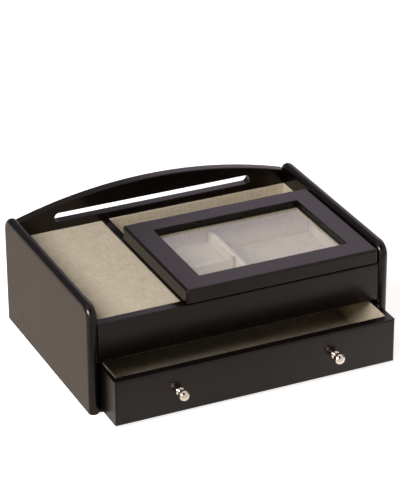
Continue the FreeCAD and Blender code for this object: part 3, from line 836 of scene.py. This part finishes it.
class VALET_OT_bumpers(bpy.types.Operator):
    """Sets the two clear bumpers that the lid shuts on"""
    bl_idname = "valet.bumpers"
    bl_label = "Set the Bumpers"

    def execute(self, context):
        bm = bmesh.new()
        for low, high in solids_of("lid_bumpers"):
            radius, height = (high.x - low.x) / 2, high.z - low.z
            made = bmesh.ops.create_uvsphere(bm, u_segments=32, v_segments=16, radius=1.0)
            base = Vector(((low.x + high.x) / 2, (low.y + high.y) / 2, low.z))
            bmesh.ops.scale(bm, vec=(radius, radius, height), verts=made["verts"])
            bmesh.ops.translate(bm, vec=base, verts=made["verts"])
        base_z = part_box("lid_bumpers")[0].z
        cut = bmesh.ops.bisect_plane(
            bm, geom=bm.verts[:] + bm.edges[:] + bm.faces[:], plane_co=(0, 0, base_z),
            plane_no=(0, 0, 1), clear_inner=True)
        cut_edges = [g for g in cut["geom_cut"] if isinstance(g, bmesh.types.BMEdge)]
        bmesh.ops.holes_fill(bm, edges=cut_edges)
        piece_from(bm, "lid_bumpers_domed", "case", clear_bumper(), "bumper_rubber", "lid_bumpers")
        return {"FINISHED"}


class VALET_OT_stage(bpy.types.Operator):
    """Sets the pale floor, the light and the camera"""
    bl_idname = "valet.stage"
    bl_label = "Set the Stage"

    def execute(self, context):
        scene = context.scene
        scene.view_settings.view_transform = "Standard"
        self.floor(scene)
        self.sky(scene)
        self.lamps(scene)
        self.camera(scene)
        return {"FINISHED"}

    def floor(self, scene):
        half_width = 6.0
        bm = bmesh.new()
        bmesh.ops.create_grid(bm, x_segments=1, y_segments=1, size=half_width)
        mesh = bpy.data.meshes.new("floor")
        bm.to_mesh(mesh)
        bm.free()
        material, tree = new_material("pale_floor")
        # the eye sees white paper with soft shadows
        paper = add_node(tree, "ShaderNodeBsdfDiffuse", inputs={"Color": linear("#e2e1df")})
        lift = add_node(tree, "ShaderNodeEmission", inputs={
            "Color": linear("#fffefc"), "Strength": 0.86})
        seen = add_node(tree, "ShaderNodeAddShader", inputs={0: paper.outputs[0], 1: lift.outputs[0]})
        # gloss sees painted light on it: a painted warm tint on the left, a painted glow on the right,
        # and painted shade off the front left corner and further off in front
        place = own_place(tree)
        warm = self.near(tree, place, (-0.25, 0.15, 0.0), (0.24, 0.34), (1.0, 0.0))
        bright = self.near(tree, place, (0.4, -0.1, 0.0), (0.18, 0.42), (1.1, 0.3))
        corner = self.near(tree, place, (-0.21, -0.24, 0.0), (0.05, 0.13), (0.5, 1.0))
        parts = add_node(tree, "ShaderNodeSeparateXYZ", inputs={0: place})
        front = remap(tree, parts.outputs["Y"], (-0.26, -0.16), (0.66, 1.0), "SMOOTHSTEP")
        tone = mix_colours(tree, warm, linear("#f6f3f0"), linear("#decdbf"))
        # painted shade: the corner and the front dim the painted warm tint
        painted_reflection_colour = mix_colours(tree, 1.0, tone, reckon(tree, "MULTIPLY", corner, front), "MULTIPLY")
        matt = add_node(tree, "ShaderNodeBsdfDiffuse", inputs={"Color": painted_reflection_colour})
        # a painted glow: for gloss the floor shines, strongest on the right, though it is no lamp
        painted_glow = add_node(tree, "ShaderNodeEmission", inputs={"Color": painted_reflection_colour, "Strength": bright})
        mirrored = add_node(tree, "ShaderNodeAddShader", inputs={
            0: matt.outputs[0], 1: painted_glow.outputs[0]})
        show(tree, add_node(tree, "ShaderNodeMixShader", inputs={
            0: plain_sight(tree), 1: mirrored.outputs[0], 2: seen.outputs[0]}))
        mesh.materials.append(material)
        floor = bpy.data.objects.new("floor", mesh)
        scene.collection.objects.link(floor)

    def near(self, tree, place, centre, reach, values):
        """A value that changes softly with the distance from a point on the floor."""
        away = add_node(tree, "ShaderNodeVectorMath", {"operation": "DISTANCE"}, {
            0: place, 1: centre})
        return remap(tree, away.outputs["Value"], reach, values, "SMOOTHSTEP")

    def sky(self, scene):
        dim, zenith, room = (0.23, 0.21, 0.23, 1.0), (0.80, 0.80, 0.86, 1.0), (0.82, 0.78, 0.80, 1.0)
        dim_up_to = 0.55        # the sky behind is dim up to this height, from 0 to 1
        gap_way = (-0.25, -0.55, 0.8)
        world = bpy.data.worlds.new("studio")
        scene.world = world
        world.use_nodes = True
        tree = world.node_tree
        tree.nodes.clear()
        # gloss mirrors a pale room in front, and behind one that is dim below and pale overhead
        way = add_node(tree, "ShaderNodeTexCoord").outputs["Generated"]
        parts = add_node(tree, "ShaderNodeSeparateXYZ", inputs={0: way})
        behind = add_node(tree, "ShaderNodeValToRGB", inputs={0: parts.outputs["Z"]})
        stops = behind.color_ramp.elements
        stops[0].position, stops[0].color = 0.0, dim
        stops[1].position, stops[1].color = 1.0, zenith
        stops.new(dim_up_to).color = dim
        ahead = remap(tree, parts.outputs["Y"], (-0.35, 0.1), (1.0, 0.0), "SMOOTHSTEP")
        around = mix_colours(tree, ahead, behind.outputs["Color"], room)
        # a dark gap in that room lies high over the camera
        facing = add_node(tree, "ShaderNodeVectorMath", {"operation": "DOT_PRODUCT"}, {
            0: way, 1: gap_way})
        gap = remap(tree, facing.outputs["Value"], (0.86, 0.94), (1.0, 0.02), "SMOOTHSTEP")
        mirrored = add_node(tree, "ShaderNodeBackground", inputs={"Color": around, "Strength": gap})
        # cloth and other matt surfaces get a weak, even light, and the eye sees plain white
        even = add_node(tree, "ShaderNodeBackground", inputs={
            "Color": (1.0, 0.99, 0.98, 1.0), "Strength": 0.18})
        white = add_node(tree, "ShaderNodeBackground", inputs={
            "Color": (1.0, 1.0, 1.0, 1.0), "Strength": 1.0})
        path = add_node(tree, "ShaderNodeLightPath")
        unseen = add_node(tree, "ShaderNodeMixShader", inputs={
            0: path.outputs["Is Glossy Ray"], 1: even.outputs[0], 2: mirrored.outputs[0]})
        studio = add_node(tree, "ShaderNodeMixShader", inputs={
            0: plain_sight(tree), 1: unseen.outputs[0], 2: white.outputs[0]})
        add_node(tree, "ShaderNodeOutputWorld", inputs={"Surface": studio.outputs[0]})

    def lamps(self, scene):
        aim = Vector((0, 0, 0.06))
        white, violet = (1.0, 1.0, 1.0), (1.0, 0.86, 1.05)
        # name, place, width, watts, tint, and whether it shows in gloss alone or lights alone
        for name, place, width, watts, tint, in_gloss in (
            ("key", Vector((-0.95, -0.95, 1.25)), 0.8, 19.0, white, False),
            ("side", Vector((-1.2, -0.15, 0.85)), 0.4, 7.0, white, False),
            ("glint", Vector((-1.2, -0.47, 0.72)), 0.46, 31.0, white, True),
            ("rear", Vector((0.72, 0.5, 0.55)), 1.24, 2.5, violet, True),
        ):
            light = bpy.data.lights.new(name, "AREA")
            light.shape = "DISK"
            light.size = width
            light.energy = watts
            light.color = tint
            lamp = bpy.data.objects.new(name, light)
            scene.collection.objects.link(lamp)
            lamp.location = place
            lamp.rotation_euler = (aim - place).to_track_quat("-Z", "Y").to_euler()
            lamp.visible_camera = False
            lamp.visible_diffuse = not in_gloss
            lamp.visible_glossy = in_gloss

    def camera(self, scene):
        data = bpy.data.cameras.new("camera")
        data.lens = 178.47
        data.shift_x, data.shift_y = 0.0072, -0.0183
        data.clip_end = 50.0
        camera = bpy.data.objects.new("camera", data)
        scene.collection.objects.link(camera)
        camera.location = (-0.8191, -1.80103, 1.07898)
        ahead = Vector((0.371353, 0.81408, -0.446509))
        roll = Quaternion((0, 0, 1), math.radians(-0.388))
        camera.rotation_euler = (ahead.to_track_quat("-Z", "Y") @ roll).to_euler()
        scene.camera = camera


STEPS = (
    VALET_OT_boards, VALET_OT_back_board, VALET_OT_lining_material, VALET_OT_wall_cards,
    VALET_OT_tray_floor, VALET_OT_dividers, VALET_OT_pads, VALET_OT_lid_lining,
    VALET_OT_glass, VALET_OT_knobs, VALET_OT_hinges, VALET_OT_bumpers, VALET_OT_stage,
)


class VALET_PT_panel(bpy.types.Panel):
    """Lists the steps and settings of the valet box"""
    bl_idname = "VALET_PT_panel"
    bl_label = "Valet Box"
    bl_space_type = "VIEW_3D"
    bl_region_type = "UI"
    bl_category = "Valet Box"

    def draw(self, context):
        for group in (context.scene.valet_sizes, context.scene.valet_colours):
            for name in group.__annotations__:
                self.layout.prop(group, name)
        for step in STEPS:
            self.layout.operator(step.bl_idname)


def register():
    for item in (ValetSizes, ValetColours, *STEPS, VALET_PT_panel):
        bpy.utils.register_class(item)
    bpy.types.Scene.valet_sizes = PointerProperty(type=ValetSizes)
    bpy.types.Scene.valet_colours = PointerProperty(type=ValetColours)


def unregister():
    del bpy.types.Scene.valet_colours
    del bpy.types.Scene.valet_sizes
    for item in reversed((ValetSizes, ValetColours, *STEPS, VALET_PT_panel)):
        bpy.utils.unregister_class(item)


def main():
    register()
    for step in STEPS:
        group, name = step.bl_idname.split(".")
        getattr(getattr(bpy.ops, group), name)()


if __name__ == "__main__":
    main()
